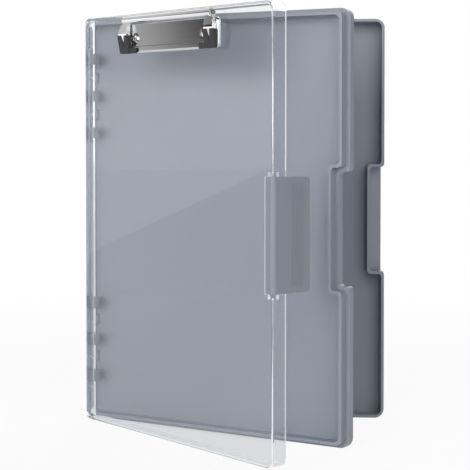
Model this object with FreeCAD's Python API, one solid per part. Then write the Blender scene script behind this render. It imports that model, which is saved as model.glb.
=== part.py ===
import FreeCAD, Part
import math
import os
from FreeCAD import Vector

# A side-opening storage clipboard, standing upright and fanned open: a deep rear tray, a middle tray
# hinged on it, and a clear lid hinged on the middle tray. All lengths are millimetres.
#
# Each leaf is drawn closed, in its own frame: X across from the hinge edge to the free edge, Z up,
# and depth forward from the leaf's back face, which is -Y. Placing the leaves opens them.

# The whole box
height = 345.0
width = 252.0
corner_radius = 8.0
rear_depth = 18.3
middle_depth = 6.2
middle_step = 8.0
lid_depth = 13.0
leaf_gap = 0.3
middle_open_angle = 28.25
lid_open_angle = 19.13

# Walls
tray_wall = 2.4
middle_hinge_wall = 5.0
tray_floor = 2.0
lid_wall = 2.4
lid_fit = 0.8
pocket_radius = 5.0
pocket_chamfer = 1.8
back_edge_radius = 2.4
lid_edge_radius = 1.8
overrun = 2.0
touch_share = 0.004

# Notches for the latch, on the free edge
notch_height = 90.0
middle_notch_depth = 9.6
rear_notch_depth = 12.2
notch_radius = 3.2

# The lid's hinge: a bullnose bar on the lid, hooks on the middle tray
bar_inset = 1.6
bar_radius = 4.6
bar_fit = 0.15
bar_relief = 1.4
hook_thickness = 3.2
hook_width = 9.0
hook_start_angle = -175.0
hook_end_angle = 28.0
hook_pitch = 31.5
window_width = 4.0
window_length = 81.0
web_width = 2.2
upper_hinge_from_top = 66.5
lower_hinge_from_bottom = 69.0

# The middle tray's hinge: a slim bar on the middle tray, hooks on the rear tray
slim_bar_radius = 2.2
slim_bar_fit = 0.12
slim_hook_thickness = 1.6
slim_hook_width = 8.0
slim_hook_start_angle = -135.0
slim_hook_end_angle = 100.0
slim_window_gap = 0.5
hinge_rim_drop = 1.2

# Latch
latch_height = 86.0
latch_length = 36.5
latch_thickness = 2.2
latch_hub_radius = 3.6
latch_lip_reach = 6.1
latch_gap = 0.4
latch_peg_radius = 1.5
latch_peg_fit = 0.08
latch_peg_length = 2.6
latch_boss_thickness = 3.4
latch_corner_radius = 4.0
barb_reach = 2.8
barb_thickness = 1.8
barb_height = 60.0
ledge_thickness = 2.2
ledge_gap = 0.4
rib_count = 7
rib_pitch = 1.9
rib_height = 0.4
rib_width = 0.8
rib_end_margin = 5.0
rib_from_tip = 7.0

# Clip: the pan that is riveted to the lid
clip_offset = 2.2
plate_length = 126.4
plate_bottom_from_top = 33.1
plate_span = 24.1
plate_height = 3.2
plate_sheet = 0.9
plate_corner_radius = 3.4
plate_edge_radius = 2.0
rim_width = 5.4
rim_rise = 0.6
ear_inset = 4.0
ear_thickness = 1.0
ear_radius = 2.6
ear_foot = 5.0

# Clip: pivot and barrel
pivot_from_top = 5.4
pivot_height = 4.5
rod_radius = 1.0
rod_fit = 0.06
rod_head_radius = 1.8
rod_head_length = 0.7
barrel_radius = 2.9
barrel_sheet = 0.7
barrel_gap = 0.3
barrel_seam_start = 180.0
barrel_seam_end = 285.0
end_disc_thickness = 1.0

# Clip: arms of the jaw
arm_width = 11.0
arm_outer_inset = 0.9
arm_sheet = 0.9
arm_bulge = 8.0
arm_shoulder_from_pivot = 11.0
arm_foot_rise = 4.6
arm_foot_overlap = 1.2
arm_clear = 0.5
arm_corner_radius = 9.0
arm_join_angle = 45.0

# Clip: rubber grips
grip_wall = 0.9
grip_height = 15.0
grip_toe_length = 8.4
grip_toe_height = 4.8
grip_gap = 0.2
grip_notch_width = 6.0
grip_notch_depth = 10.0
grip_toe_rise = 1.6

# Clip: springs
spring_wire_radius = 0.35
spring_coil_radius = 1.65
spring_pitch = 1.2
spring_turns = 3
lengths_in_turn = 6
spring_from_ear = 2.4

# Clip: rivets
rivet_from_end = 18.2
rivet_from_top = 21.0
rivet_head_radius = 4.4
rivet_head_height = 2.3
rivet_shank_radius = 1.6
rivet_fit = 0.1
rivet_tail_radius = 2.6
rivet_tail_height = 0.8
rivet_cup_radius = 5.2
washer_radius = 4.6
washer_thickness = 0.8

# Places that follow from the sizes
touch = leaf_gap * touch_share
middle_height = height / 2
front_inset = lid_wall + lid_fit
middle_front = middle_depth + middle_step
bar_x = bar_inset + bar_radius
bar_n = lid_depth - bar_radius
bar_n_on_middle = middle_depth + leaf_gap + bar_n
slim_n = slim_bar_radius
slim_n_on_rear = rear_depth + leaf_gap + slim_n
hinge_centres = [lower_hinge_from_bottom, height - upper_hinge_from_top]
box_below_lid = leaf_gap + middle_depth + leaf_gap + rear_depth
latch_x = width - latch_hub_radius
latch_n = lid_depth - latch_hub_radius
latch_tip_n = lid_depth - latch_length
ledge_low = latch_tip_n + box_below_lid + barb_thickness + ledge_gap
clip_x = width / 2 + clip_offset
ear_spacing = plate_length - 2 * ear_inset
rivet_spacing = plate_length - 2 * rivet_from_end
pivot_z = height - pivot_from_top
pivot_n = lid_depth + pivot_height
plate_low_z = height - plate_bottom_from_top
plate_high_z = plate_low_z + plate_span
plate_top_n = lid_depth + plate_height
field_n = plate_top_n - rim_rise


def save(name, shape):
    """Write one piece, checked, under its own name."""
    if not shape.isValid():
        shape.fix(0.0, 0.0, 0.0)
    solids = [solid.removeSplitter() for solid in shape.Solids]
    piece = solids[0] if len(solids) == 1 else Part.makeCompound(solids)
    piece.exportStep("parts/" + name + ".step")
    print(name, len(solids), "solid, volume", round(piece.Volume, 1), "valid", piece.isValid())


def rounded_wire(points, place):
    """Closed wire through corner points (a, b, radius), each corner an arc of its radius."""
    edges = []
    ends = []
    count = len(points)
    for index in range(count):
        before = Vector(*points[index - 1][:2], 0)
        corner = Vector(*points[index][:2], 0)
        after = Vector(*points[(index + 1) % count][:2], 0)
        radius = points[index][2]
        to_before = (before - corner).normalize()
        to_after = (after - corner).normalize()
        half = to_before.getAngle(to_after) / 2
        if radius <= 0:
            ends.append((corner, corner, corner))
            continue
        reach = radius / math.tan(half)
        middle = (to_before + to_after).normalize() * (radius / math.sin(half) - radius)
        ends.append((corner + to_before * reach, corner + middle, corner + to_after * reach))
    for index in range(count):
        start, bend, stop = ends[index]
        following = ends[(index + 1) % count][0]
        if (stop - start).Length > 0:
            edges.append(Part.Arc(place(start), place(bend), place(stop)).toShape())
        if (following - stop).Length > touch:
            edges.append(Part.makeLine(place(stop), place(following)))
    return Part.Wire(edges)


def leaf_prism(points, low, high):
    """Solid with an outline in X and Z, from one depth to another, forward being -Y."""
    wire = rounded_wire(points, lambda p: Vector(p.x, -low, p.y))
    return Part.Face(wire).extrude(Vector(0, low - high, 0))


def block(x_low, x_high, n_low, n_high, z_low, z_high):
    """Box given by its limits across, in depth and in height."""
    size = (x_high - x_low, n_high - n_low, z_high - z_low)
    return Part.makeBox(*size, Vector(x_low, -n_high, z_low))


def upright_rod(x, n, radius, z_low, z_high):
    """Round bar along Z at a place across and in depth."""
    return Part.makeCylinder(radius, z_high - z_low, Vector(x, -n, z_low), Vector(0, 0, 1))


def cross_rod(n, z, radius, x_low, x_high):
    """Round bar along X at a depth and a height."""
    return Part.makeCylinder(radius, x_high - x_low, Vector(x_low, -n, z), Vector(1, 0, 0))


def depth_rod(x, z, radius, n_low, n_high):
    """Round bar along the depth at a place across and a height."""
    return Part.makeCylinder(radius, n_high - n_low, Vector(x, -n_low, z), Vector(0, -1, 0))


def edges_at_depth(shape, n):
    """Edges that lie wholly at one depth."""
    found = []
    for edge in shape.Edges:
        box = edge.BoundBox
        if abs(box.YMin + n) < touch and abs(box.YMax + n) < touch:
            found.append(edge)
    return found


def plain_outline(inset, left_inset, radius):
    """Leaf outline without a notch."""
    return [
        (left_inset, inset, radius),
        (width - inset, inset, radius),
        (width - inset, height - inset, radius),
        (left_inset, height - inset, radius),
    ]


def notched_outline(inset, left_inset, notch_depth, radius, left_radius):
    """Leaf outline with the latch notch in its free edge, moved inward by the inset."""
    right = width - inset
    deep = width - notch_depth - inset
    low = middle_height - notch_height / 2 - inset
    high = middle_height + notch_height / 2 + inset
    return [
        (left_inset, inset, left_radius),
        (right, inset, radius),
        (right, low, notch_radius),
        (deep, low, notch_radius),
        (deep, high, notch_radius),
        (right, high, notch_radius),
        (right, height - inset, radius),
        (left_inset, height - inset, left_radius),
    ]


def full_outline(notch_depth):
    """Notched outline at the leaf's full size."""
    return notched_outline(0, 0, notch_depth, corner_radius, corner_radius)


def ring_sector(x, n, inner, outer, start, stop, z_low, z_high):
    """Part of an upright tube between two angles, counted from +X towards the front."""
    def point(radius, angle):
        turn = math.radians(angle)
        return Vector(x + radius * math.cos(turn), -n - radius * math.sin(turn), z_low)
    middle = (start + stop) / 2
    wire = Part.Wire([
        Part.Arc(point(inner, start), point(inner, middle), point(inner, stop)).toShape(),
        Part.makeLine(point(inner, stop), point(outer, stop)),
        Part.Arc(point(outer, stop), point(outer, middle), point(outer, start)).toShape(),
        Part.makeLine(point(outer, start), point(inner, start)),
    ])
    return Part.Face(wire).extrude(Vector(0, 0, z_high - z_low))


def hinge_hook(x, n, inner, thickness, start, stop, centre, hook_size):
    """Snap hook round a bar, cut flush with the hinge edge of the leaf."""
    low = centre - hook_size / 2
    high = centre + hook_size / 2
    outer = inner + thickness
    hook = ring_sector(x, n, inner, outer, start, stop, low, high)
    beyond = block(-outer, 0, n - outer - overrun, n + outer + overrun, low - overrun, high + overrun)
    return hook.cut(beyond)


def slim_hook_centres():
    """Heights of the rear tray's hooks, halfway between the middle tray's own hooks."""
    return [centre + side * hook_pitch / 2 for centre in hinge_centres for side in (-1, 1)]


def lid_hook_centres():
    """Heights of the middle tray's hooks, three to each hinge."""
    return [centre + step * hook_pitch for centre in hinge_centres for step in (-1, 0, 1)]


def tray_pocket(inset, left_inset, notch_depth, top):
    """What is taken out of a tray, with its floor edge sloped."""
    outline = notched_outline(inset, left_inset, notch_depth, pocket_radius, pocket_radius)
    pocket = leaf_prism(outline, tray_floor, top + overrun)
    return pocket.makeChamfer(pocket_chamfer, edges_at_depth(pocket, tray_floor))


def make_rear_tray():
    """Deep tray with a rounded back edge, a catch ledge in its notch and hooks on its hinge edge."""
    outer = leaf_prism(plain_outline(0, 0, corner_radius), 0, rear_depth)
    outer = outer.makeFillet(back_edge_radius, edges_at_depth(outer, 0))
    outer = outer.common(leaf_prism(full_outline(rear_notch_depth), 0, rear_depth))
    body = outer.cut(tray_pocket(tray_wall, tray_wall, rear_notch_depth, rear_depth))
    rim = rear_depth - hinge_rim_drop
    above = rear_depth + overrun
    body = body.cut(block(-overrun, tray_wall, rim, above, -overrun, height + overrun))
    half_ledge = notch_height / 2 + tray_wall / 2
    ledge = block(
        width - rear_notch_depth - tray_wall / 2,
        width - latch_thickness - ledge_gap,
        ledge_low,
        ledge_low + ledge_thickness,
        middle_height - half_ledge,
        middle_height + half_ledge,
    )
    body = body.fuse(ledge)
    for centre in slim_hook_centres():
        body = body.fuse(hinge_hook(
            slim_bar_radius, slim_n_on_rear, slim_bar_radius + slim_bar_fit, slim_hook_thickness,
            slim_hook_start_angle, slim_hook_end_angle, centre, slim_hook_width,
        ))
    return body


def make_middle_tray():
    """Shallow tray: a full-size back band, a front section that fits in the lid, and both hinges."""
    band = leaf_prism(full_outline(middle_notch_depth), 0, middle_depth)
    front_radius = corner_radius - front_inset
    outline = notched_outline(front_inset, 0, middle_notch_depth, front_radius, corner_radius)
    front = leaf_prism(outline, 0, middle_front)
    body = band.fuse(front)
    pocket_inset = front_inset + tray_wall
    body = body.cut(tray_pocket(pocket_inset, middle_hinge_wall, middle_notch_depth, middle_front))
    relief_radius = bar_radius + bar_relief
    relief = upright_rod(bar_x, bar_n_on_middle, relief_radius, -overrun, height + overrun)
    relief_low = bar_n_on_middle - relief_radius
    relief = relief.fuse(block(
        -overrun, bar_x, relief_low, middle_front + overrun, -overrun, height + overrun
    ))
    body = body.cut(relief)
    slim_bar = upright_rod(slim_bar_radius, slim_n, slim_bar_radius, -overrun, height + overrun)
    edge = block(-overrun, slim_bar_radius, -overrun, slim_n, -overrun, height + overrun)
    body = body.cut(edge.cut(slim_bar)).fuse(slim_bar.common(band))
    reach = slim_bar_radius + slim_bar_fit + slim_hook_thickness + slim_window_gap
    half = slim_hook_width / 2 + slim_window_gap
    for centre in slim_hook_centres():
        window = block(
            -overrun, slim_bar_radius + reach, -overrun, slim_n + reach, centre - half, centre + half
        )
        body = body.cut(window.cut(slim_bar))
    for centre in lid_hook_centres():
        body = body.fuse(hinge_hook(
            bar_x, bar_n_on_middle, bar_radius + bar_fit, hook_thickness,
            hook_start_angle, hook_end_angle, centre, hook_width,
        ))
    return body


def lid_windows(bar):
    """Mould windows beside the hinge bar: three to each hinge, parted by two narrow webs."""
    cuts = []
    half = window_length / 2
    web = hook_pitch / 2
    for centre in hinge_centres:
        limits = [
            (centre - half, centre - web - web_width / 2),
            (centre - web + web_width / 2, centre + web - web_width / 2),
            (centre + web + web_width / 2, centre + half),
        ]
        for low, high in limits:
            right = bar_x + bar_radius + window_width
            cuts.append(block(bar_x, right, 0, lid_depth + overrun, low, high).cut(bar))
    return cuts


def latch_boss(side):
    """Block behind the lid's edge that carries one latch peg, above or below the latch."""
    inner = latch_height / 2 + latch_gap
    outer = inner + latch_boss_thickness
    low, high = sorted((middle_height + side * inner, middle_height + side * outer))
    left = latch_x - latch_hub_radius
    right = width - lid_wall / 2
    return block(left, right, latch_n - latch_hub_radius, lid_depth - lid_wall / 2, low, high)


def make_clear_lid():
    """Clear cap with a bullnose hinge bar, windows, a latch cut-out with two bosses, and rivet holes."""
    outer = leaf_prism(plain_outline(0, bar_inset, corner_radius), 0, lid_depth)
    outer = outer.makeFillet(lid_edge_radius, edges_at_depth(outer, lid_depth))
    bar = upright_rod(bar_x, bar_n, bar_radius, -overrun, height + overrun)
    cavity = leaf_prism(
        plain_outline(lid_wall, -width, corner_radius - lid_wall), -overrun, lid_depth - lid_wall
    )
    side = block(-overrun, bar_x, -overrun, lid_depth + overrun, -overrun, height + overrun)
    body = outer.cut(cavity.fuse(side).cut(bar))
    for cut in lid_windows(bar):
        body = body.cut(cut)
    for side in (-1, 1):
        body = body.fuse(latch_boss(side))
    half = latch_height / 2 + latch_gap
    low = middle_height - half
    high = middle_height + half
    clear_radius = latch_lip_reach + latch_gap
    body = body.cut(upright_rod(latch_x, latch_n, clear_radius, low, high))
    body = body.cut(block(latch_x, width + overrun, -overrun, lid_depth + overrun, low, high))
    peg_reach = half + latch_peg_length
    body = body.cut(upright_rod(
        latch_x, latch_n, latch_peg_radius + latch_peg_fit,
        middle_height - peg_reach, middle_height + peg_reach,
    ))
    for x in rivet_places():
        hole = depth_rod(x, rivet_z(), rivet_shank_radius + rivet_fit, 0, lid_depth + overrun)
        body = body.cut(hole)
    return body


def make_latch():
    """Ribbed flap with a round hub, a front lip, two pegs and a barb along its tip."""
    low = middle_height - latch_height / 2
    high = middle_height + latch_height / 2
    hub = upright_rod(latch_x, latch_n, latch_hub_radius, low, high)
    flap_left = width - latch_thickness
    flap = block(flap_left, width, latch_tip_n, latch_n, low, high)
    tip_edges = [e for e in flap.Edges if is_tip_edge(e)]
    flap = flap.makeFillet(latch_corner_radius, tip_edges)
    lip = block(
        latch_x - latch_lip_reach, latch_x, lid_depth - latch_thickness, lid_depth, low, high
    )
    lip = lip.common(upright_rod(latch_x, latch_n, latch_lip_reach, low, high))
    barb_left = flap_left - barb_reach
    barb_low = middle_height - barb_height / 2
    barb_high = middle_height + barb_height / 2
    barb = block(
        barb_left, flap_left + latch_thickness / 2, latch_tip_n, latch_tip_n + barb_thickness,
        barb_low, barb_high,
    )
    body = hub.fuse(flap).fuse(lip).fuse(barb)
    peg_gap = latch_gap / 2
    peg_reach = latch_height / 2 + latch_gap + latch_peg_length - peg_gap
    body = body.fuse(upright_rod(
        latch_x, latch_n, latch_peg_radius, middle_height - peg_reach, middle_height + peg_reach
    ))
    for index in range(rib_count):
        n = latch_tip_n + rib_from_tip + index * rib_pitch
        rib = block(
            width - rib_height, width + rib_height, n, n + rib_width,
            low + rib_end_margin, high - rib_end_margin,
        )
        body = body.fuse(rib)
    return body


def is_tip_edge(edge):
    """True for the two short edges at the flap's tip, which run through its thickness."""
    box = edge.BoundBox
    at_tip = abs(box.YMin + latch_tip_n) < touch and abs(box.YMax + latch_tip_n) < touch
    return at_tip and box.XLength > touch and box.ZLength < touch


def rivet_places():
    """Places across of the two rivets."""
    return [clip_x - rivet_spacing / 2, clip_x + rivet_spacing / 2]


def rivet_z():
    """Height of the rivets."""
    return height - rivet_from_top


def ear_places():
    """Low sides of the two ears, symmetric about the clip's middle."""
    return [clip_x - ear_spacing / 2, clip_x + ear_spacing / 2 - ear_thickness]


def pan_block(inset, top, edge_radius):
    """Block with rounded corners, from the lid's face forward; its front edge may be rounded."""
    points = [
        (clip_x - plate_length / 2 + inset, plate_low_z + inset, plate_corner_radius - inset),
        (clip_x + plate_length / 2 - inset, plate_low_z + inset, plate_corner_radius - inset),
        (clip_x + plate_length / 2 - inset, plate_high_z - inset, plate_corner_radius - inset),
        (clip_x - plate_length / 2 + inset, plate_high_z - inset, plate_corner_radius - inset),
    ]
    body = leaf_prism(points, lid_depth, top)
    if edge_radius == 0:
        return body
    return body.makeFillet(edge_radius, edges_at_depth(body, top))


def field_block(inset, low_n, high_n):
    """Block over the pan's flat field, inside its rim, open at the upper edge."""
    half = plate_length / 2 - inset
    return block(
        clip_x - half, clip_x + half, low_n, high_n, plate_low_z + inset, plate_high_z + overrun
    )


def make_ear(x):
    """Upright ear, turned up from the pan's top edge, with the rod's hole."""
    foot_n = lid_depth + plate_height - plate_sheet
    points = [
        (foot_n, plate_high_z - ear_foot, 0),
        (plate_top_n, plate_high_z - ear_foot, 0),
        (pivot_n + rod_head_radius, pivot_z, 0),
        (pivot_n, pivot_z, 0),
        (foot_n, pivot_z, 0),
    ]
    wire = rounded_wire(points, lambda p: Vector(x, -p.x, p.y))
    ear = Part.Face(wire).extrude(Vector(ear_thickness, 0, 0))
    ear = ear.fuse(cross_rod(pivot_n, pivot_z, ear_radius, x, x + ear_thickness))
    return ear.cut(cross_rod(pivot_n, pivot_z, rod_radius + rod_fit, x - overrun, x + overrun))


def make_base_plate():
    """Pressed pan with a rolled rim round a flat field, two dished seats for the rivets, two ears."""
    pan = pan_block(0, plate_top_n, plate_edge_radius)
    hollow = pan_block(plate_sheet, plate_top_n - plate_sheet, 0)
    pan = pan.cut(hollow.cut(field_block(rim_width - plate_sheet, field_n - plate_sheet, plate_top_n)))
    recess = field_block(rim_width, field_n, plate_top_n + overrun)
    pan = pan.cut(recess.makeChamfer(rim_rise, edges_at_depth(recess, field_n)))
    for x in rivet_places():
        seat = lid_depth + plate_sheet
        pan = pan.cut(depth_rod(x, rivet_z(), rivet_cup_radius, lid_depth, plate_top_n + overrun))
        cup = depth_rod(x, rivet_z(), rivet_cup_radius + plate_sheet / 2, lid_depth, field_n)
        inner = rivet_cup_radius - plate_sheet / 2
        cup = cup.cut(depth_rod(x, rivet_z(), inner, seat, plate_top_n + overrun))
        pan = pan.fuse(cup)
        pan = pan.cut(depth_rod(
            x, rivet_z(), rivet_shank_radius + rivet_fit, lid_depth - overrun, plate_top_n
        ))
    for x in ear_places():
        pan = pan.fuse(make_ear(x))
    return pan


def make_rod():
    """Pivot rod with a peened head beyond each ear."""
    left = clip_x - ear_spacing / 2
    right = clip_x + ear_spacing / 2
    rod = cross_rod(pivot_n, pivot_z, rod_radius, left - rod_head_length, right + rod_head_length)
    rod = rod.fuse(cross_rod(pivot_n, pivot_z, rod_head_radius, left - rod_head_length, left))
    return rod.fuse(cross_rod(pivot_n, pivot_z, rod_head_radius, right, right + rod_head_length))


def barrel_limits():
    """Ends of the barrel, just inside the ears."""
    inside = ear_spacing / 2 - ear_thickness - barrel_gap
    return clip_x - inside, clip_x + inside


def make_barrel():
    """Rolled barrel with an open seam towards the lid and a pierced disc at each end."""
    left, right = barrel_limits()
    inner = barrel_radius - barrel_sheet

    def point(radius, angle):
        turn = math.radians(angle)
        return Vector(left, -pivot_n - radius * math.cos(turn), pivot_z + radius * math.sin(turn))
    start = barrel_seam_end - 360
    stop = barrel_seam_start
    middle = (start + stop) / 2
    wire = Part.Wire([
        Part.Arc(point(inner, start), point(inner, middle), point(inner, stop)).toShape(),
        Part.makeLine(point(inner, stop), point(barrel_radius, stop)),
        Part.Arc(
            point(barrel_radius, stop), point(barrel_radius, middle), point(barrel_radius, start)
        ).toShape(),
        Part.makeLine(point(barrel_radius, start), point(inner, start)),
    ])
    barrel = Part.Face(wire).extrude(Vector(right - left, 0, 0))
    for x in (left, right - end_disc_thickness):
        barrel = barrel.fuse(cross_rod(pivot_n, pivot_z, barrel_radius, x, x + end_disc_thickness))
    hole = cross_rod(pivot_n, pivot_z, rod_radius + rod_fit, left - overrun, right + overrun)
    return barrel.cut(hole)


def arm_join():
    """Depth and height at which an arm's front meets the middle of the barrel's sheet."""
    turn = math.radians(arm_join_angle)
    radius = barrel_radius - barrel_sheet / 2
    return pivot_n + radius * math.cos(turn), pivot_z - radius * math.sin(turn)


def arm_profile(offset, bottom):
    """Side view of an arm as (depth, height, radius): a bulged back that runs down to the foot."""
    shoulder_z = pivot_z - arm_shoulder_from_pivot
    join_n, join_z = arm_join()
    return [
        (bottom, plate_low_z + arm_foot_overlap + offset, 0),
        (lid_depth + arm_foot_rise - offset, plate_low_z + arm_foot_overlap + offset, 0),
        (lid_depth + arm_bulge - offset, shoulder_z, arm_bulge),
        (join_n - offset, join_z, 0),
        (bottom, join_z, 0),
    ]


def arm_solid(x_low, x_high, offset, bottom):
    """Arm profile drawn out across."""
    wire = rounded_wire(arm_profile(offset, bottom), lambda p: Vector(x_low, -p.x, p.y))
    return Part.Face(wire).extrude(Vector(x_high - x_low, 0, 0))


def arm_limits():
    """Left arm's sides."""
    left = clip_x - plate_length / 2 + arm_outer_inset
    return left, left + arm_width


def make_left_arm():
    """Channel arm: a bent front with two side flanges, its outer top corner rounded off."""
    left, right = arm_limits()
    bottom = plate_top_n + arm_clear
    arm = arm_solid(left, right, 0, bottom)
    arm = arm.cut(arm_solid(left + arm_sheet, right - arm_sheet, arm_sheet, bottom - overrun))
    top = arm_join()[1]
    cut_z = top - arm_corner_radius - overrun
    outside = [
        (left - overrun, cut_z, 0),
        (left, cut_z, 0),
        (left, top, arm_corner_radius),
        (right, top, 0),
        (right, top + overrun, 0),
        (left - overrun, top + overrun, 0),
    ]
    arm = arm.cut(leaf_prism(outside, lid_depth, lid_depth + 2 * arm_bulge))
    inner = barrel_radius - barrel_sheet / 2
    return arm.cut(cross_rod(pivot_n, pivot_z, inner, left - overrun, right + overrun))


def mirrored(shape):
    """The same piece on the other side of the clip's middle."""
    return shape.mirror(Vector(clip_x, 0, 0), Vector(1, 0, 0))


def make_jaw():
    """Bail of the clip: the rolled barrel with an arm at each end."""
    arm = make_left_arm()
    return make_barrel().fuse(arm).fuse(mirrored(arm))


def make_left_grip():
    """Rubber boot on the left arm, with a notch in its front and a toe along the pan's lower edge."""
    left, right = arm_limits()
    low = plate_low_z
    top = low + grip_height
    bottom = plate_top_n + grip_gap
    boot = arm_solid(left - grip_wall, right + grip_wall, -grip_wall, bottom)
    keep = block(left - width, right + width, bottom, lid_depth + 2 * arm_bulge, low, top)
    boot = boot.common(keep)
    toe = block(
        right, right + grip_wall + grip_toe_length, bottom, bottom + grip_toe_rise,
        low + arm_foot_overlap - grip_wall, low + grip_toe_height,
    )
    boot = boot.fuse(toe)
    centre = (left + right) / 2
    notch = [
        (centre - grip_notch_width / 2, top + overrun, 0),
        (centre, top - grip_notch_depth, 0),
        (centre + grip_notch_width / 2, top + overrun, 0),
    ]
    notch_cut = leaf_prism(notch, bottom, lid_depth + 2 * arm_bulge)
    boot = boot.cut(notch_cut)
    return boot.cut(arm_solid(left, right, 0, bottom - overrun))


def make_spring(x_start):
    """Torsion spring: round wire wound about the rod in short lengths, mitred end to end."""
    points = []
    for step in range(spring_turns * lengths_in_turn + 1):
        turn = 2 * math.pi * step / lengths_in_turn
        points.append(Vector(
            x_start + spring_pitch * step / lengths_in_turn,
            -pivot_n - spring_coil_radius * math.cos(turn),
            pivot_z + spring_coil_radius * math.sin(turn),
        ))
    spine = Part.makePolygon(points)
    print("spring: least gap to itself", round(least_gap(spine.Edges), 3))
    profile = Part.makeCircle(spring_wire_radius, points[0], points[1] - points[0])
    return spine.makePipeShell([Part.Wire(profile)], True, True, 1)


def least_gap(lengths):
    """Clear distance between lengths of wire that lie half a turn or more apart."""
    apart = lengths_in_turn // 2
    nearest = width
    for index, length in enumerate(lengths):
        for other in lengths[index + apart:]:
            nearest = min(nearest, length.distToShape(other)[0])
    return nearest - 2 * spring_wire_radius


def make_rivets():
    """Two domed rivets, their tails peened over the washers."""
    solids = []
    for x in rivet_places():
        seat = lid_depth + plate_sheet
        dome_height = rivet_head_height
        sphere_radius = (rivet_head_radius ** 2 + dome_height ** 2) / (2 * dome_height)
        sphere_n = seat + dome_height - sphere_radius
        sphere = Part.makeSphere(sphere_radius, Vector(x, -sphere_n, rivet_z()))
        above = seat + dome_height + overrun
        head = sphere.common(depth_rod(x, rivet_z(), rivet_head_radius, seat, above))
        tail_n = lid_depth - lid_wall - washer_thickness
        shank = depth_rod(x, rivet_z(), rivet_shank_radius, tail_n - rivet_tail_height, seat)
        tail = depth_rod(x, rivet_z(), rivet_tail_radius, tail_n - rivet_tail_height, tail_n)
        solids.append(head.fuse(shank).fuse(tail))
    return Part.makeCompound(solids)


def make_washers():
    """Two flat washers inside the lid, under the rivets' tails."""
    solids = []
    high = lid_depth - lid_wall
    for x in rivet_places():
        washer = depth_rod(x, rivet_z(), washer_radius, high - washer_thickness, high)
        hole = depth_rod(x, rivet_z(), rivet_shank_radius + rivet_fit, 0, lid_depth)
        solids.append(washer.cut(hole))
    return Part.makeCompound(solids)


def place_on_base(shape):
    """Move from the leaf frame to the box's frame: middle of the rear tray's lower edge."""
    moved = shape.copy()
    moved.translate(Vector(-width / 2, rear_depth / 2, 0))
    return moved


def place_middle(shape):
    """Swing a piece of the middle leaf open about its hinge on the rear tray."""
    moved = shape.copy()
    moved.rotate(Vector(slim_bar_radius, -slim_n, 0), Vector(0, 0, 1), -middle_open_angle)
    moved.translate(Vector(0, slim_n - slim_n_on_rear, 0))
    return place_on_base(moved)


def place_lid(shape):
    """Swing a piece of the lid open about its hinge on the middle tray, then carry it along."""
    moved = shape.copy()
    moved.rotate(Vector(bar_x, -bar_n, 0), Vector(0, 0, 1), -lid_open_angle)
    moved.translate(Vector(0, bar_n - bar_n_on_middle, 0))
    return place_middle(moved)


def report_place(name, place, x, n, z):
    """Print where a named point of a leaf lies in the box's frame."""
    point = place(Part.Vertex(x, -n, z)).Point
    print(name, round(point.x, 3), round(point.y, 3), round(point.z, 3))


def main():
    """Build every piece, open the leaves and write the files."""
    os.makedirs("parts", exist_ok=True)
    save("rear_tray", place_on_base(make_rear_tray()))
    save("middle_tray", place_middle(make_middle_tray()))
    save("clear_lid", place_lid(make_clear_lid()))
    save("latch", place_lid(make_latch()))
    save("clip_base_plate", place_lid(make_base_plate()))
    save("clip_rod", place_lid(make_rod()))
    save("clip_jaw", place_lid(make_jaw()))
    left_grip = make_left_grip()
    save("clip_grip_left", place_lid(left_grip))
    save("clip_grip_right", place_lid(mirrored(left_grip)))
    spring_x = clip_x - ear_spacing / 2 + ear_thickness + spring_from_ear
    left_spring = make_spring(spring_x)
    save("clip_spring_left", place_lid(left_spring))
    save("clip_spring_right", place_lid(mirrored(left_spring)))
    save("clip_rivets", place_lid(make_rivets()))
    save("rivet_washers", place_lid(make_washers()))
    report_place("middle hinge axis", place_middle, slim_bar_radius, slim_n, 0)
    report_place("lid hinge axis", place_lid, bar_x, bar_n, 0)
    report_place("latch axis", place_lid, latch_x, latch_n, middle_height)
    report_place("jaw axis", place_lid, clip_x, pivot_n, pivot_z)


main()
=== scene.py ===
# %% [markdown]
# # A storage clipboard that stands open
# The object is a box for papers that opens like a book. A deep grey tray stands at the back, a shallow grey
# tray is hinged to it, and a clear lid with a steel clip is hinged to that.
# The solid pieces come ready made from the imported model. This lesson gives them their finishes, draws the
# clip's two springs with smooth wire, and sets up a plain studio.

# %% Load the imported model
import math
import bpy
import numpy as np
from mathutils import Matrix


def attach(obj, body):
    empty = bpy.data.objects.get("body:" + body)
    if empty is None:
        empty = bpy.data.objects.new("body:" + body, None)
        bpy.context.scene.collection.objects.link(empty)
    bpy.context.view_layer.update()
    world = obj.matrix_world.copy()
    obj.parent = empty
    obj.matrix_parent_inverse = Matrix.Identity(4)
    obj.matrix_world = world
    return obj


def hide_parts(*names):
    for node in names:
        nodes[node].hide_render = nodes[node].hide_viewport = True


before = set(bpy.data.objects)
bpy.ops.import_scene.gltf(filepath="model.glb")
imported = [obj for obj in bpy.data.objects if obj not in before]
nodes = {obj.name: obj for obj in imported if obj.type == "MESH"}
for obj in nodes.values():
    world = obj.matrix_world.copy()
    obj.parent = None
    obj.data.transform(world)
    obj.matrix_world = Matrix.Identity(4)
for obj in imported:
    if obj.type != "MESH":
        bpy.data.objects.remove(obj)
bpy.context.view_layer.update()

print("pieces in the model:", sorted(nodes))

# %% [markdown]
# ## Places on the lid
# The model is in metres. Each leaf is easiest to think of when it is shut, with X across from the
# hinge, depth towards the reader and Z up. Two turns and two shifts carry a point of the shut lid to
# where it stands open. Doing that with whole arrays keeps every later piece short.

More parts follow.
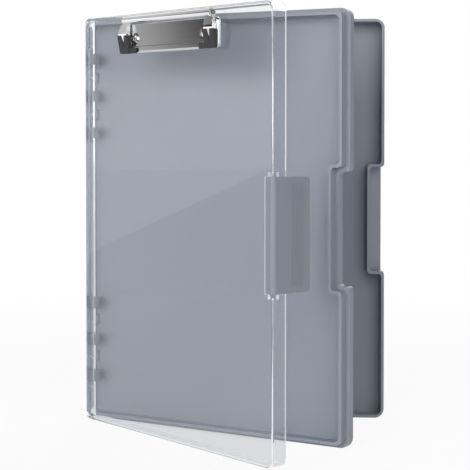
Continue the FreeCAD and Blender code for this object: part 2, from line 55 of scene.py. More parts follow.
# %% Turn places on the shut lid into places in the room
MM = 0.001
WIDTH = 252.0 * MM
HEIGHT = 345.0 * MM
REAR_DEPTH = 18.3 * MM
MIDDLE_DEPTH = 6.2 * MM
LEAF_GAP = 0.3 * MM
LID_DEPTH = 13.0 * MM
SLIM_BAR = 2.2 * MM
LID_BAR_INSET = 1.6 * MM
LID_BAR = 4.6 * MM
CLIP_OFFSET = 2.2 * MM
CLIP_MIDDLE = WIDTH / 2 + CLIP_OFFSET
MIDDLE_ANGLE = math.radians(28.25)
LID_ANGLE = math.radians(19.13)


def swung(points, x, y, angle):
    """Turn points about an upright axis at x, y, clockwise as seen from above, by an angle."""
    across, along = points[..., 0] - x, points[..., 1] - y
    c, s = math.cos(angle), math.sin(angle)
    return np.stack([x + across * c + along * s, y - across * s + along * c, points[..., 2]], axis=-1)


def shifted(points, x, y):
    """Points moved by x and y."""
    return points + np.array([x, y, 0.0])


def on_lid(x, depth, z):
    """Places on the shut lid carried to the open lid: turn at the lid's hinge, then at the tray's hinge."""
    x, depth, z = np.broadcast_arrays(x, depth, z)
    points = np.stack([x, -depth, z], axis=-1)
    points = swung(points, LID_BAR_INSET + LID_BAR, LID_BAR - LID_DEPTH, LID_ANGLE)
    points = shifted(points, 0.0, -MIDDLE_DEPTH - LEAF_GAP)
    points = swung(points, SLIM_BAR, -SLIM_BAR, MIDDLE_ANGLE)
    return shifted(points, -WIDTH / 2, -REAR_DEPTH / 2 - LEAF_GAP)


lid_corner = on_lid(WIDTH, LID_DEPTH, HEIGHT)
print("free top corner of the lid at", np.round(lid_corner, 4))

# %% [markdown]
# ## The camera
# The photograph has upright edges that stay parallel, so the camera is nearly level, and a lens shift moves
# the picture instead of a tilt. The long lens keeps the leaves from spreading apart.

# %% Camera
PHOTO_LENS = 111.57
CAMERA_PLACE = (0.07406, -1.2701, 0.2538)
CAMERA_YAW = math.radians(3.497)
CAMERA_PITCH = math.radians(-1.742)
CAMERA_SHIFT = -0.14
SENSOR_WIDTH = 36.0
NEAR_CLIP = 0.05
FAR_CLIP = 30.0


def make_camera():
    """The camera that the photograph was taken with, as far as its picture tells."""
    data = bpy.data.cameras.new("camera")
    data.lens = PHOTO_LENS
    data.sensor_width = SENSOR_WIDTH
    data.shift_y = CAMERA_SHIFT
    data.clip_start = NEAR_CLIP
    data.clip_end = FAR_CLIP
    camera = bpy.data.objects.new("camera", data)
    camera.location = CAMERA_PLACE
    camera.rotation_euler = (math.pi / 2 + CAMERA_PITCH, 0.0, CAMERA_YAW)
    bpy.context.scene.collection.objects.link(camera)
    bpy.context.scene.camera = camera


make_camera()
print("camera looks", round(math.degrees(CAMERA_YAW), 2), "degrees left of straight on")

# %% [markdown]
# ## A short way to write materials
# Every finish below is a small network of nodes. A few helpers keep them readable: they add a node with
# its values, join two sockets, start a material with a Principled shader, mix two colours or two
# shaders, and add noise or bump. Patterns read Object coordinates, so they stay on a piece when it
# swings. Light meets many clear walls on its way through the lid, so rays may bounce more often than is
# usual.

# %% Helpers for materials
BOUNCES_IN_ALL = 24
BOUNCES_OFF_MIRRORS = 16
BOUNCES_THROUGH_CLEAR = 24
SCREEN_KNEE = 0.04045
SCREEN_SLOPE = 12.92
SCREEN_OFFSET = 0.055
SCREEN_POWER = 2.4
USUAL_DETAIL = 2.0

bpy.context.scene.view_settings.view_transform = "Standard"
bpy.context.scene.cycles.max_bounces = BOUNCES_IN_ALL
bpy.context.scene.cycles.glossy_bounces = BOUNCES_OFF_MIRRORS
bpy.context.scene.cycles.transmission_bounces = BOUNCES_THROUGH_CLEAR


def add_node(tree, kind, settings=None, **values):
    """A node of a kind, with properties from settings and input sockets from values."""
    node = tree.nodes.new(kind)
    for name, value in (settings or {}).items():
        setattr(node, name, value)
    for name, value in values.items():
        node.inputs[name.replace("_", " ")].default_value = value
    return node


def join(tree, source, output, target, socket):
    """Join an output socket of one node to an input socket of another."""
    tree.links.new(source.outputs[output], target.inputs[socket])


def empty_material(name):
    """A material with no nodes yet, with its node tree."""
    material = bpy.data.materials.new(name)
    material.use_nodes = True
    tree = material.node_tree
    tree.nodes.clear()
    return material, tree


def new_material(name):
    """A material with a Principled shader; returns it with its tree, shader and Object coordinates."""
    material, tree = empty_material(name)
    shader = add_node(tree, "ShaderNodeBsdfPrincipled")
    output = add_node(tree, "ShaderNodeOutputMaterial")
    join(tree, shader, "BSDF", output, "Surface")
    place = add_node(tree, "ShaderNodeTexCoord")
    return material, tree, shader, place


def linear(red, green, blue):
    """Screen colour from 0 to 255 as the linear colour that a shader takes: s / slope for a dark share s,
    and ((s + offset) / (1 + offset)) ** power for a brighter one."""
    share = np.array([red, green, blue]) / 255.0
    low = share / SCREEN_SLOPE
    high = ((share + SCREEN_OFFSET) / (1.0 + SCREEN_OFFSET)) ** SCREEN_POWER
    return (*np.where(share < SCREEN_KNEE, low, high).tolist(), 1.0)


def add_noise(tree, place, scale, detail=USUAL_DETAIL, stretch=(1.0, 1.0, 1.0), turn=0.0):
    """Noise on Object coordinates. Its grains are stretched along axes that are turned about Z."""
    mapping = add_node(tree, "ShaderNodeMapping", {"vector_type": "TEXTURE"})
    mapping.inputs["Rotation"].default_value = (0.0, 0.0, turn)
    mapping.inputs["Scale"].default_value = stretch
    join(tree, place, "Object", mapping, "Vector")
    noise = add_node(tree, "ShaderNodeTexNoise", Scale=scale, Detail=detail)
    join(tree, mapping, "Vector", noise, "Vector")
    return noise


def vary_roughness(tree, shader, pattern, limits):
    """Let a 0 to 1 pattern move a shader's roughness between two values."""
    spread = add_node(tree, "ShaderNodeMapRange", To_Min=limits[0], To_Max=limits[1])
    join(tree, pattern, "Fac", spread, "Value")
    join(tree, spread, "Result", shader, "Roughness")


def vary_colour(tree, shader, pattern, first, second):
    """Let a 0 to 1 pattern mix a shader's base colour from two colours."""
    tone = add_node(tree, "ShaderNodeMix", {"data_type": "RGBA"})
    tone.inputs["A"].default_value = first
    tone.inputs["B"].default_value = second
    join(tree, pattern, "Fac", tone, "Factor")
    join(tree, tone, "Result", shader, "Base Color")


def add_math(tree, operation, first, first_output, second, second_output):
    """A Math node that works on an output of each of two nodes."""
    node = add_node(tree, "ShaderNodeMath", {"operation": operation})
    join(tree, first, first_output, node, 0)
    join(tree, second, second_output, node, 1)
    return node


def show_mixed(tree, factor, first, second):
    """Let the surface be a mix: the first shader where a Math node gives 0, the second where it gives 1."""
    mix = add_node(tree, "ShaderNodeMixShader")
    join(tree, factor, "Value", mix, "Fac")
    join(tree, first, 0, mix, 1)
    join(tree, second, 0, mix, 2)
    output = next(node for node in tree.nodes if node.type in ("OUTPUT_MATERIAL", "OUTPUT_WORLD"))
    join(tree, mix, "Shader", output, "Surface")


def add_bump(tree, shader, patterns, distance):
    """Bump on a shader from one or more pairs of a pattern and its strength, chained."""
    previous = None
    for pattern, strength in patterns:
        bump = add_node(tree, "ShaderNodeBump", Strength=strength, Distance=distance)
        join(tree, pattern, "Fac", bump, "Height")
        if previous is not None:
            join(tree, previous, "Normal", bump, "Normal")
        previous = bump
    join(tree, previous, "Normal", shader, "Normal")


print("material helpers ready")

# %% [markdown]
# ## Grey moulded plastic
# The trays are moulded in a cool grey plastic with a satin face. A real moulding is never one flat
# colour: the grain of the mould scatters light a little, and the tone drifts by a few percent over a
# hand's width. Three noises do this: a fine one for the grain, a broad one for the tone, and a
# stretched one for the gloss.

# %% Grey plastic
TRAY_GREY = linear(149, 155, 166)
TRAY_ROUGHNESS = (0.3, 0.42)
LATCH_GREY = linear(142, 147, 158)
LATCH_ROUGHNESS = (0.3, 0.44)
GREY_IOR = 1.46
GREY_SPECULAR = 0.45
GREY_GRAIN = 2200.0
GREY_DRIFT = 9.0
GREY_SCUFF = 60.0
SCUFF_DETAIL = 6.0
SCUFF_STRETCH = (1.0, 1.0, 6.0)
TONE_SPREAD = 0.03
GRAIN_BUMP = 0.02
DRIFT_BUMP = 0.008
GREY_BUMP_DEPTH = 0.2 * MM


def make_grey_plastic(name, colour, roughness):
    """Satin moulded plastic: broad noise for tone, stretched noise for gloss, fine noise for the grain."""
    material, tree, shader, place = new_material(name)
    broad = add_noise(tree, place, GREY_DRIFT)
    fine = add_noise(tree, place, GREY_GRAIN)
    scuff = add_noise(tree, place, GREY_SCUFF, SCUFF_DETAIL, SCUFF_STRETCH)
    dark = tuple(channel * (1.0 - TONE_SPREAD) for channel in colour[:3]) + (1.0,)
    light = tuple(channel * (1.0 + TONE_SPREAD) for channel in colour[:3]) + (1.0,)
    vary_colour(tree, shader, broad, dark, light)
    vary_roughness(tree, shader, scuff, roughness)
    add_bump(tree, shader, [(fine, GRAIN_BUMP), (broad, DRIFT_BUMP)], GREY_BUMP_DEPTH)
    shader.inputs["IOR"].default_value = GREY_IOR
    shader.inputs["Specular IOR Level"].default_value = GREY_SPECULAR
    return material


tray_plastic = make_grey_plastic("grey_tray_plastic", TRAY_GREY, TRAY_ROUGHNESS)
latch_plastic = make_grey_plastic("grey_latch_plastic", LATCH_GREY, LATCH_ROUGHNESS)
print("grey plastics made")

# %% [markdown]
# ## Clear plastic
# The lid is a polished clear moulding. Light bends in it, and its edges shine white because they gather
# light along the sheet. Glass shaders cast a dark shadow unless lamps may pass, so a Transparent shader
# takes over for shadow rays and for the soft light that bounces about. It also takes over for a ray
# that has bounced many times inside a wall: in the real lid such light leaks out at the corners and
# draws them as bright lines.

# %% Clear plastic
CLEAR_IOR = 1.49
CLEAR_TINT_DEEP = (0.915, 0.928, 0.944, 1.0)
CLEAR_TINT_PALE = (0.93, 0.942, 0.955, 1.0)
CLEAR_PASSING = (0.93, 0.94, 0.95, 1.0)
CLEAR_WAVES = 12.0
CLEAR_BUMP = 0.005
CLEAR_BUMP_DEPTH = 0.2 * MM
TRAPPED_AFTER = 5.5


def make_clear_plastic(name):
    """Polished clear plastic that lets lamplight through to what lies behind it."""
    material, tree, shader, place = new_material(name)
    shader.inputs["Roughness"].default_value = 0.0
    shader.inputs["Transmission Weight"].default_value = 1.0
    shader.inputs["IOR"].default_value = CLEAR_IOR
    waves = add_noise(tree, place, CLEAR_WAVES)
    vary_colour(tree, shader, waves, CLEAR_TINT_DEEP, CLEAR_TINT_PALE)
    add_bump(tree, shader, [(waves, CLEAR_BUMP)], CLEAR_BUMP_DEPTH)
    passing = add_node(tree, "ShaderNodeBsdfTransparent", Color=CLEAR_PASSING)
    rays = add_node(tree, "ShaderNodeLightPath")
    soft = add_math(tree, "MAXIMUM", rays, "Is Shadow Ray", rays, "Is Diffuse Ray")
    trapped = add_node(tree, "ShaderNodeMath", {"operation": "GREATER_THAN"})
    join(tree, rays, "Ray Depth", trapped, 0)
    trapped.inputs[1].default_value = TRAPPED_AFTER
    let_through = add_math(tree, "MAXIMUM", soft, "Value", trapped, "Value")
    show_mixed(tree, let_through, shader, passing)
    return material


clear_plastic = make_clear_plastic("clear_lid_plastic")
print("clear plastic made")

# %% [markdown]
# ## Steel of the clip
# The base plate was brushed along its length, so its noise is stretched sixtyfold that way and turned
# to the lid's angle. The jaw and the rivets are plated and nearly mirrors, with a faint waviness from
# rolling. The washers and springs are plain steel, between the two. The rod's steel has a dark colour
# that paints a dark reflection, so its round ends look dark.

# %% Metals
BRUSHED_COLOUR = (0.56, 0.56, 0.565)
BRUSHED_ROUGHNESS = (0.1, 0.16)
PLATED_COLOUR = (0.8, 0.8, 0.81)
PLATED_ROUGHNESS = (0.04, 0.12)
PLAIN_COLOUR = (0.62, 0.62, 0.63)
PLAIN_ROUGHNESS = (0.16, 0.3)
# The rod's dark base colour is a painted dark reflection of dark surroundings.
ROD_PAINTED_REFLECTION_COLOUR = (0.2, 0.2, 0.205)
ROD_ROUGHNESS = (0.08, 0.16)
STREAKS = 1100.0
STREAK_DETAIL = 3.0
STREAK_STRETCH = (60.0, 1.0, 1.0)
STREAK_BUMP = 0.02
STREAK_BUMP_DEPTH = 0.1 * MM
BRUSHED_ANISOTROPY = 0.5
BRUSHED_ROTATION = 0.25
RIPPLES = 160.0
RIPPLE_BUMP = 0.05
RIPPLE_BUMP_DEPTH = 0.2 * MM


def start_steel(name, colour):
    """A metal material of one colour, as material, tree, shader, coordinates."""
    material, tree, shader, place = new_material(name)
    shader.inputs["Base Color"].default_value = (*colour, 1.0)
    shader.inputs["Metallic"].default_value = 1.0
    return material, tree, shader, place


def make_brushed_steel(name, colour, roughness, turn):
    """Steel with streaks along one direction, in gloss and in a very shallow bump."""
    material, tree, shader, place = start_steel(name, colour)
    streaks = add_noise(tree, place, STREAKS, STREAK_DETAIL, STREAK_STRETCH, turn)
    shader.inputs["Anisotropic"].default_value = BRUSHED_ANISOTROPY
    shader.inputs["Anisotropic Rotation"].default_value = BRUSHED_ROTATION
    vary_roughness(tree, shader, streaks, roughness)
    add_bump(tree, shader, [(streaks, STREAK_BUMP)], STREAK_BUMP_DEPTH)
    return material


def make_plated_steel(name, colour, roughness):
    """Bright plated steel: almost a mirror, with slow ripples and a little uneven gloss."""
    material, tree, shader, place = start_steel(name, colour)
    ripple = add_noise(tree, place, RIPPLES)
    vary_roughness(tree, shader, ripple, roughness)
    add_bump(tree, shader, [(ripple, RIPPLE_BUMP)], RIPPLE_BUMP_DEPTH)
    return material


LID_TURN = -MIDDLE_ANGLE - LID_ANGLE
brushed_steel = make_brushed_steel("brushed_plate", BRUSHED_COLOUR, BRUSHED_ROUGHNESS, LID_TURN)
plated_steel = make_plated_steel("plated_jaw", PLATED_COLOUR, PLATED_ROUGHNESS)
plain_steel = make_plated_steel("plain_steel", PLAIN_COLOUR, PLAIN_ROUGHNESS)
# The rod's steel is painted dark to stand in for the dark things its round ends mirror.
rod_steel_with_painted_reflection = make_plated_steel("rod_steel_painted_dark_reflection", ROD_PAINTED_REFLECTION_COLOUR, ROD_ROUGHNESS)
print("metals made")

# %% [markdown]
# ## Rubber of the grips
# The two boots on the clip's arms are dull black rubber. A fine grain and a broad, slightly paler bloom
# keep them from looking like a hole in the picture.

# %% Rubber
RUBBER_DARK = linear(44, 43, 47)
RUBBER_PALE = linear(60, 59, 63)
RUBBER_ROUGHNESS = (0.55, 0.75)
RUBBER_BLOOM = 220.0
BLOOM_DETAIL = 4.0
RUBBER_GRAIN = 2600.0
RUBBER_BUMP = 0.15
RUBBER_BUMP_DEPTH = 0.2 * MM


def make_rubber(name):
    """Dull dark rubber with fine grain and a faint pale bloom."""
    material, tree, shader, place = new_material(name)
    bloom = add_noise(tree, place, RUBBER_BLOOM, BLOOM_DETAIL)
    grain = add_noise(tree, place, RUBBER_GRAIN)
    vary_colour(tree, shader, bloom, RUBBER_DARK, RUBBER_PALE)
    vary_roughness(tree, shader, bloom, RUBBER_ROUGHNESS)
    add_bump(tree, shader, [(grain, RUBBER_BUMP)], RUBBER_BUMP_DEPTH)
    return material


rubber = make_rubber("grip_rubber")
print("rubber made")

# %% [markdown]
# ## Dress the solids
# Each solid piece keeps its shape and takes its finish. Its mesh is loose triangles, so a small group of
# geometry nodes welds them and smooths every edge that bends by less than thirty degrees. That leaves real
# corners crisp and lets arcs shine as arcs. Weighted normals keep the large faces flat, so that they mirror
# straight. Where a moulded edge should catch light, a narrow bevel comes before the smoothing.

# %% Finishes for the solids
finish_of = {
    "rear_tray": tray_plastic,
    "middle_tray": tray_plastic,
    "latch": latch_plastic,
    "clear_lid": clear_plastic,
    "clip_base_plate": brushed_steel,
    "clip_jaw": plated_steel,
    "clip_rod": rod_steel_with_painted_reflection,
    "clip_spring_left": plain_steel,
    "clip_spring_right": plain_steel,
    "clip_rivets": plated_steel,
    "rivet_washers": plain_steel,
    "clip_grip_left": rubber,
    "clip_grip_right": rubber,
}
BEVEL_WIDTH_OF = {
    "rear_tray": 0.45 * MM,
    "middle_tray": 0.4 * MM,
    "latch": 0.3 * MM,
    "clip_jaw": 0.45 * MM,
    "clip_grip_left": 0.35 * MM,
    "clip_grip_right": 0.35 * MM,
}
WELD_REACH = 0.01 * MM
SMOOTH_BELOW = math.radians(30.0)
BEVEL_ABOVE = math.radians(40.0)
BEVEL_STEPS = 2
LARGE_FACE_WEIGHT = 100


def make_smoothing_group():
    """Geometry nodes: weld points closer than the weld's reach, and smooth all but sharp edges."""
    group = bpy.data.node_groups.new("weld_and_smooth", "GeometryNodeTree")
    group.interface.new_socket("Geometry", in_out="INPUT", socket_type="NodeSocketGeometry")
    group.interface.new_socket("Geometry", in_out="OUTPUT", socket_type="NodeSocketGeometry")
    start = add_node(group, "NodeGroupInput")
    weld = add_node(group, "GeometryNodeMergeByDistance", Distance=WELD_REACH)
    faces = add_node(group, "GeometryNodeSetShadeSmooth", {"domain": "FACE"}, Shade_Smooth=True)
    angle = add_node(group, "GeometryNodeInputMeshEdgeAngle")
    sharp = add_node(group, "FunctionNodeCompare", {"data_type": "FLOAT", "operation": "GREATER_THAN"})
    sharp.inputs["B"].default_value = SMOOTH_BELOW
    edges = add_node(group, "GeometryNodeSetShadeSmooth", {"domain": "EDGE"}, Shade_Smooth=False)
    end = add_node(group, "NodeGroupOutput")
    join(group, start, "Geometry", weld, "Geometry")
    join(group, weld, "Geometry", faces, "Geometry")
    join(group, faces, "Geometry", edges, "Geometry")
    join(group, angle, "Unsigned Angle", sharp, "A")
    join(group, sharp, "Result", edges, "Selection")
    join(group, edges, "Geometry", end, "Geometry")
    return group


smoothing = make_smoothing_group()


def add_bevel(piece, width):
    """Round every sharp edge by a small width, in a few steps."""
    weld = piece.modifiers.new("weld", "WELD")
    weld.merge_threshold = WELD_REACH
    bevel = piece.modifiers.new("bevel", "BEVEL")
    bevel.width = width
    bevel.segments = BEVEL_STEPS
    bevel.limit_method = "ANGLE"
    bevel.angle_limit = BEVEL_ABOVE


def dress(node, material):
    """Give a solid its material, bevel it where it has a width for that, and smooth it."""
    piece = nodes[node]
    piece.data.materials.clear()
    piece.data.materials.append(material)
    if node in BEVEL_WIDTH_OF:
        add_bevel(piece, BEVEL_WIDTH_OF[node])
    modifier = piece.modifiers.new("weld_and_smooth", "NODES")
    modifier.node_group = smoothing
    weighted = piece.modifiers.new("weighted_normals", "WEIGHTED_NORMAL")
    weighted.weight = LARGE_FACE_WEIGHT
    weighted.keep_sharp = True


for node, material in finish_of.items():
    dress(node, material)
print("dressed", len(finish_of), "solids;", len(BEVEL_WIDTH_OF), "with bevels")

# %% [markdown]
# ## Springs round the rod
# Two torsion springs push the jaw shut. The solid springs are wound in short straight lengths, which is
# enough for their weight and fit. Seen close, a spring wants a smooth wire, so each is a tube carried
# along a helix. A path and a circle make the whole surface. The coil stays inside the barrel however
# far the jaw lifts.

# %% Tube along a path
SPRING_SIDES = 14


def mesh_from_grid(name, grid):
    """Mesh of a grid of points (rows, columns): quads between neighbours, columns closed, ends capped."""
    rows, columns = grid.shape[:2]
    index = np.arange(rows * columns).reshape(rows, columns)
    following = np.roll(index, -1, axis=1)
    quads = np.stack([index[:-1], index[1:], following[1:], following[:-1]], axis=-1).reshape(-1, 4)
    faces = quads.tolist()
    faces.append(index[0].tolist())
    faces.append(index[-1][::-1].tolist())
    mesh = bpy.data.meshes.new(name)
    mesh.from_pydata(grid.reshape(-1, 3).tolist(), [], faces)
    mesh.polygons.foreach_set("use_smooth", [True] * len(quads) + [False, False])
    mesh.update()
    piece = bpy.data.objects.new(name, mesh)
    bpy.context.scene.collection.objects.link(piece)
    return piece


def tube_along(path, radius, axis):
    """Surface of a round wire: path + radius * (cos(a) * side + sin(a) * up) for a from 0 to a full turn.

    side is square to the path and to an axis that the path never follows, and up is square to both."""
    ahead = np.gradient(path, axis=0)
    ahead /= np.linalg.norm(ahead, axis=1, keepdims=True)
    side = np.cross(ahead, axis)
    side /= np.linalg.norm(side, axis=1, keepdims=True)
    up = np.cross(ahead, side)
    angle = np.linspace(0.0, 2 * math.pi, SPRING_SIDES, endpoint=False)[None, :, None]
    return path[:, None] + radius * (np.cos(angle) * side[:, None] + np.sin(angle) * up[:, None])


# %% Two torsion springs
WIRE_RADIUS = 0.35 * MM
COIL_RADIUS = 1.65 * MM
COIL_PITCH = 1.2 * MM
COIL_TURNS = 3
STEPS_IN_TURN = 36
ROD_ABOVE_LID = 4.5 * MM
ROD_FROM_TOP = 5.4 * MM
SPRING_FROM_MIDDLE = 55.8 * MM
ROD_DEPTH = LID_DEPTH + ROD_ABOVE_LID
ROD_HEIGHT = HEIGHT - ROD_FROM_TOP
SPRING_START = CLIP_MIDDLE - SPRING_FROM_MIDDLE
SPRINGS = (("spring_left", "clip_spring_left", False), ("spring_right", "clip_spring_right", True))


def spring_path():
    """A helix round the rod: x grows with the angle a, one pitch for each turn.

    Depth = rod's depth - radius * cos(a), and height = rod's height + radius * sin(a)."""
    angle = np.linspace(0.0, 2 * math.pi * COIL_TURNS, STEPS_IN_TURN * COIL_TURNS + 1)
    return np.stack([
        SPRING_START + COIL_PITCH * angle / (2 * math.pi),
        ROD_DEPTH - COIL_RADIUS * np.cos(angle),
        ROD_HEIGHT + COIL_RADIUS * np.sin(angle),
    ], axis=1)


def add_spring(name, node, mirrored):
    """Spring on one side of the clip, in place of its solid."""
    grid = tube_along(spring_path(), WIRE_RADIUS, np.array([1.0, 0.0, 0.0]))
    if mirrored:
        grid[..., 0] = 2 * CLIP_MIDDLE - grid[..., 0]
        grid = grid[:, ::-1]
    placed = on_lid(grid[..., 0], grid[..., 1], grid[..., 2])
    spring = mesh_from_grid(name, placed)
    spring.data.materials.append(plain_steel)
    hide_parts(node)
    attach(spring, "lid")
    return spring


for name, node, mirrored in SPRINGS:
    spring = add_spring(name, node, mirrored)
    print(name, len(spring.data.polygons), "faces")

# %% [markdown]
# ## Floor and light
# A product photograph on white has a white floor that runs up behind. The floor shows as white to the
# camera and to mirrors, a little greyer through clear plastic, and only a small share of it takes
# shadow. The world gives the even part of the light, two broad lamps from the front give the leaves
# their tones, and one behind lights the back.

# %% Floor and world
FLOOR_SIZE = 14.0
FLOOR_COLOUR = (0.86, 0.86, 0.86, 1.0)
FLOOR_ROUGHNESS = 0.9
FLOOR_GLOW_NEAR = 0.93
FLOOR_GLOW_THROUGH_LID = 0.6
SHADOW_REACH_NEAR = 0.3
SHADOW_REACH_FAR = 1.1
WORLD_LIGHT = 0.12
WHITE = (1.0, 1.0, 1.0, 1.0)


def seen_directly(tree, through_clear=1.0):
    """Math node whose value is 1 for rays from the camera and from mirrors, and lower through clear pieces.

    Light that bends through a clear piece counts as glossy too, so a last step lowers it to its share."""
    rays = add_node(tree, "ShaderNodeLightPath")
    either = add_math(tree, "MAXIMUM", rays, "Is Glossy Ray", rays, "Is Transmission Ray")
    lowered = add_node(tree, "ShaderNodeMath", {"operation": "MULTIPLY_ADD"})
    join(tree, rays, "Is Transmission Ray", lowered, 0)
    lowered.inputs[1].default_value = through_clear - 1.0
    lowered.inputs[2].default_value = 1.0
    indirect = add_math(tree, "MULTIPLY", either, "Value", lowered, "Value")
    return add_math(tree, "MAXIMUM", rays, "Is Camera Ray", indirect, "Value")


def add_fade(tree, source, output, start, end, low, high):
    """Value that goes smoothly from low to high while an output of a node goes from start to end."""
    fade = add_node(tree, "ShaderNodeMapRange", {"interpolation_type": "SMOOTHSTEP"})
    for socket, value in (("From Min", start), ("From Max", end), ("To Min", low), ("To Max", high)):
        fade.inputs[socket].default_value = value
    join(tree, source, output, fade, "Value")
    return fade


def add_sheet(name, corners, material):
    """A flat piece of the studio with four corners."""
    mesh = bpy.data.meshes.new(name)
    mesh.from_pydata([list(corner) for corner in corners], [], [[0, 1, 2, 3]])
    mesh.materials.append(material)
    sheet = bpy.data.objects.new(name, mesh)
    bpy.context.scene.collection.objects.link(sheet)
    return sheet


def make_floor_white():
    """White to the eye, with a faint shadow round the object.

    The share of white grows with the distance from the middle, and is whole well before the horizon."""
    material, tree, shader, place = new_material("floor_white")
    shader.inputs["Base Color"].default_value = FLOOR_COLOUR
    shader.inputs["Roughness"].default_value = FLOOR_ROUGHNESS
    glow = add_node(tree, "ShaderNodeEmission", Strength=1.0)
    seen = seen_directly(tree, FLOOR_GLOW_THROUGH_LID)
    away = add_node(tree, "ShaderNodeVectorMath", {"operation": "LENGTH"})
    join(tree, place, "Object", away, "Vector")
    spread = add_fade(tree, away, "Value", SHADOW_REACH_NEAR, SHADOW_REACH_FAR, FLOOR_GLOW_NEAR, 1.0)
    share = add_math(tree, "MULTIPLY", seen, "Value", spread, "Result")
    show_mixed(tree, share, shader, glow)
    return material


def make_floor():
    """A large square floor."""
    half = FLOOR_SIZE / 2
    corners = [(-half, -half, 0.0), (half, -half, 0.0), (half, half, 0.0), (-half, half, 0.0)]
    floor = add_sheet("floor", corners, make_floor_white())


def make_world():
    """Even light all round, shown as white."""
    world = bpy.data.worlds.new("studio")
    bpy.context.scene.world = world
    world.use_nodes = True
    tree = world.node_tree
    tree.nodes.clear()
    add_node(tree, "ShaderNodeOutputWorld")
    light = add_node(tree, "ShaderNodeBackground", Color=WHITE, Strength=WORLD_LIGHT)
    white = add_node(tree, "ShaderNodeBackground", Color=WHITE, Strength=1.0)
    show_mixed(tree, seen_directly(tree), light, white)


make_floor()
make_world()
print("floor and world made")

# %% Lamps
MIDDLE_OF_BOX = (0.0, -0.1, 0.17)
# Each lamp's name, place, size in metres and power in watts.
LAMPS = (
    ("key_lamp", (-1.2, -2.1, 0.8), 1.7, 32.0),
    ("fill_lamp", (0.8, -2.0, 1.2), 1.6, 21.0),
    ("back_lamp", (0.6, 2.2, 1.4), 1.6, 26.0),
)


def add_lamp(name, place, size, power):
    """A square area lamp at a place, facing the middle of the box."""
    data = bpy.data.lights.new(name, "AREA")
    data.size = size
    data.energy = power
    lamp = bpy.data.objects.new(name, data)
    lamp.location = place
    look = np.array(MIDDLE_OF_BOX) - np.array(place)
    flat = math.hypot(look[0], look[1])
    lamp.rotation_euler = (math.atan2(flat, -look[2]), 0.0, math.atan2(look[1], look[0]) - math.pi / 2)
    bpy.context.scene.collection.objects.link(lamp)
    return lamp


for name, place, size, power in LAMPS:
    lamp = add_lamp(name, place, size, power)
    print(lamp.name, "of", size, "m and", power, "W")

# %% [markdown]
# ## What the shiny pieces mirror
# Steel and clear plastic show the studio more than their own colour. A tall light panel stands to the
# left, where the flat lid mirrors it, and its slanting lower edge draws the faint diagonal across the
# lid. The top of the panel is dark in the middle, so the clip's plate darkens from left to right. A
# pale wall stands behind the panel and a dark one to the right. Two curtains behind the camera, a
# ceiling and a mat on the floor are dark too. They put black bands into the plated steel and keep the
# lid's edge from glaring. Only mirrors see any of these.

# %% Cards that only mirrors see
PANEL_X = -1.0
PANEL_GLOW = 1.36
PANEL_FADE_LOW = 0.30
PANEL_FADE_HIGH = 0.35
PANEL_NEAR = -0.6
PANEL_FAR = 0.605
PANEL_FOOT_NEAR = 0.433
PANEL_FOOT_FAR = -0.13
NEAR_END = (-0.01, 0.0)
FAR_END = (0.13, 0.6)
EDGE_START = -0.06
EDGE_END = (-0.18, 0.8)
WALL_X = -1.04
WALL_NEAR = -0.8
WALL_FAR = 1.0
WALL_GLOW = 0.7
WALL_FOOT_GLOW = 0.93
WALL_FOOT_HEIGHT = 0.22
WALL_NEAR_SHARE = 0.2
CARD_TOP = 1.3
RIGHT_WALL_X = 1.4
RIGHT_WALL_NEAR = -1.6
RIGHT_WALL_FAR = 0.8
RIGHT_WALL_GLOW = 0.08
CURTAIN_Y = -3.0
CURTAIN_TOP = 1.4
CURTAIN_GLOW = 0.04
CURTAINS = (("curtain_left", -1.5, -0.5), ("curtain_right", 0.1, 0.8))
MAT_HEIGHT = 0.004
MAT_GLOW = 0.15
MAT_CORNERS = ((-0.12, -0.26), (-0.12, WALL_NEAR), (WALL_X, WALL_NEAR), (WALL_X, -0.1))
CEILING_HEIGHT = 1.5
CEILING_HALF_WIDTH = 1.5
CEILING_FAR = 1.0
CEILING_GLOW = 0.05


def add_card(name, corners, material):
    """A flat card that only mirrors see."""
    card = add_sheet(name, corners, material)
    card.visible_camera = False
    card.visible_diffuse = False
    card.visible_transmission = False
    card.visible_shadow = False


def start_card_light(name, strength):
    """A glow; returns its material, tree, Emission node and split coordinates for what is added to it."""
    material, tree = empty_material(name)
    place = add_node(tree, "ShaderNodeTexCoord")
    split = add_node(tree, "ShaderNodeSeparateXYZ")
    join(tree, place, "Object", split, "Vector")
    glow = add_node(tree, "ShaderNodeEmission", Strength=strength)
    output = add_node(tree, "ShaderNodeOutputMaterial")
    join(tree, glow, "Emission", output, "Surface")
    return material, tree, glow, split


def make_even_light(name, strength):
    """The same glow everywhere."""
    return start_card_light(name, strength)[0]


def make_panel_light():
    """The panel's glow. Above a height it is dim at one place and brighter to both sides of that place.

    The flat lid mirrors the far side of it, and the lid's rounded edge mirrors the near side. Below the
    height the panel is bright and even, and only its near part is dimmer."""
    material, tree, glow, split = start_card_light("panel_light", PANEL_GLOW)
    slope = add_fade(tree, split, "Y", NEAR_END[0], FAR_END[0], NEAR_END[1], FAR_END[1])
    edge = add_fade(tree, split, "Y", EDGE_END[0], EDGE_START, EDGE_END[1], 0.0)
    above = add_math(tree, "ADD", slope, "Result", edge, "Result")
    below = add_fade(tree, split, "Y", EDGE_END[0], EDGE_START, EDGE_END[1], PANEL_GLOW)
    height = add_fade(tree, split, "Z", PANEL_FADE_LOW, PANEL_FADE_HIGH, 0.0, 1.0)
    blend = add_node(tree, "ShaderNodeMix")
    join(tree, height, "Result", blend, "Factor")
    join(tree, below, "Result", blend, "A")
    join(tree, above, "Value", blend, "B")
    join(tree, blend, "Result", glow, "Strength")
    return material


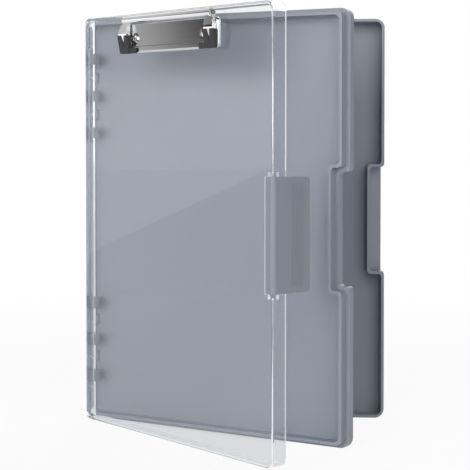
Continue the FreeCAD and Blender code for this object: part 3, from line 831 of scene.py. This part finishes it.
def make_wall_light():
    """The wall's glow: as bright as the floor at its foot, so that no line shows there, and dimmer above.

    Its near part, which the lid's rounded edge mirrors, is dimmer still."""
    material, tree, glow, split = start_card_light("wall_light", WALL_GLOW)
    rise = add_fade(tree, split, "Z", 0.0, WALL_FOOT_HEIGHT, WALL_FOOT_GLOW, WALL_GLOW)
    near = add_fade(tree, split, "Y", EDGE_END[0], EDGE_START, WALL_NEAR_SHARE, 1.0)
    both = add_math(tree, "MULTIPLY", rise, "Result", near, "Result")
    join(tree, both, "Value", glow, "Strength")
    return material


def add_side_wall(name, x, start, end, material):
    """An upright card at one side of the studio that runs from one depth to another."""
    add_card(name, [(x, start, 0.0), (x, end, 0.0), (x, end, CARD_TOP), (x, start, CARD_TOP)], material)


def add_curtain(name, left, right):
    """A dark upright card behind the camera."""
    corners = [(left, CURTAIN_Y, 0.0), (right, CURTAIN_Y, 0.0)]
    corners += [(right, CURTAIN_Y, CURTAIN_TOP), (left, CURTAIN_Y, CURTAIN_TOP)]
    add_card(name, corners, make_even_light(name + "_light", CURTAIN_GLOW))


add_side_wall("studio_wall", WALL_X, WALL_FAR, WALL_NEAR, make_wall_light())
add_side_wall("studio_wall_right", RIGHT_WALL_X, RIGHT_WALL_NEAR, RIGHT_WALL_FAR,
              make_even_light("right_wall_light", RIGHT_WALL_GLOW))
add_card("light_panel", [
    (PANEL_X, PANEL_FAR, PANEL_FOOT_FAR),
    (PANEL_X, PANEL_NEAR, PANEL_FOOT_NEAR),
    (PANEL_X, PANEL_NEAR, CARD_TOP),
    (PANEL_X, PANEL_FAR, CARD_TOP),
], make_panel_light())
for name, left, right in CURTAINS:
    add_curtain(name, left, right)
mat_corners = [(x, y, MAT_HEIGHT) for x, y in MAT_CORNERS]
add_card("dark_mat", mat_corners, make_even_light("dark_mat_light", MAT_GLOW))
add_card("ceiling", [
    (-CEILING_HALF_WIDTH, CURTAIN_Y, CEILING_HEIGHT),
    (CEILING_HALF_WIDTH, CURTAIN_Y, CEILING_HEIGHT),
    (CEILING_HALF_WIDTH, CEILING_FAR, CEILING_HEIGHT),
    (-CEILING_HALF_WIDTH, CEILING_FAR, CEILING_HEIGHT),
], make_even_light("ceiling_light", CEILING_GLOW))
print("two walls, a panel, two curtains, a mat and a ceiling made")
